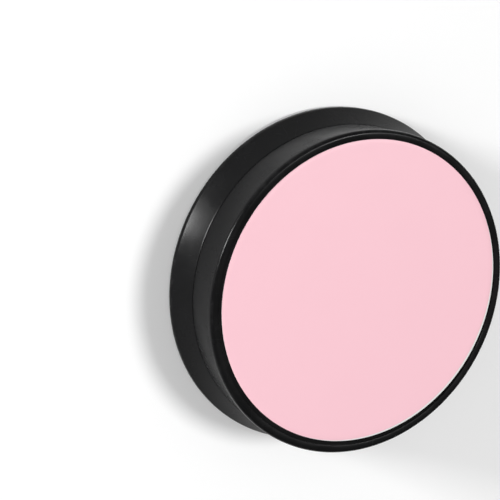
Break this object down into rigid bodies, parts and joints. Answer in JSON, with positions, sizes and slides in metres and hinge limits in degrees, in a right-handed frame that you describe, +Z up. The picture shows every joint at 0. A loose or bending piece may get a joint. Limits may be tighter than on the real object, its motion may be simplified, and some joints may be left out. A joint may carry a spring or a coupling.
{
  "type": "finger moistener",
  "caption": "Low round jar of fingertip creme: a base with a flared foot and a raised neck round a shallow dish, and a press-on lid with a recessed round label.",
  "frame": {"origin": "on the jar's axis, on the surface that the jar stands on", "axes": "+Z up along the jar's axis, from the foot to the lid; +X along the label's reading direction"},
  "size_m": [0.0684, 0.0684, 0.0158],
  "materials": {
    "black_moulding": "satin",
    "pink_creme": "satin",
    "pad_rubber": "matte",
    "liner_foam": "matte",
    "label_paper": "satin"
  },
  "bodies": {
    "base": {"jar_base": "black_moulding", "creme": "pink_creme", "foot_pad": "pad_rubber"},
    "lid": {"lid": "black_moulding", "lid_liner": "liner_foam", "label": "label_paper"}
  },
  "joints": [
    {"name": "lid_lift", "type": "slide", "parent": "base", "child": "lid", "axis": [0, 0, 1], "range_m": [0, 0.03]}
  ]
}
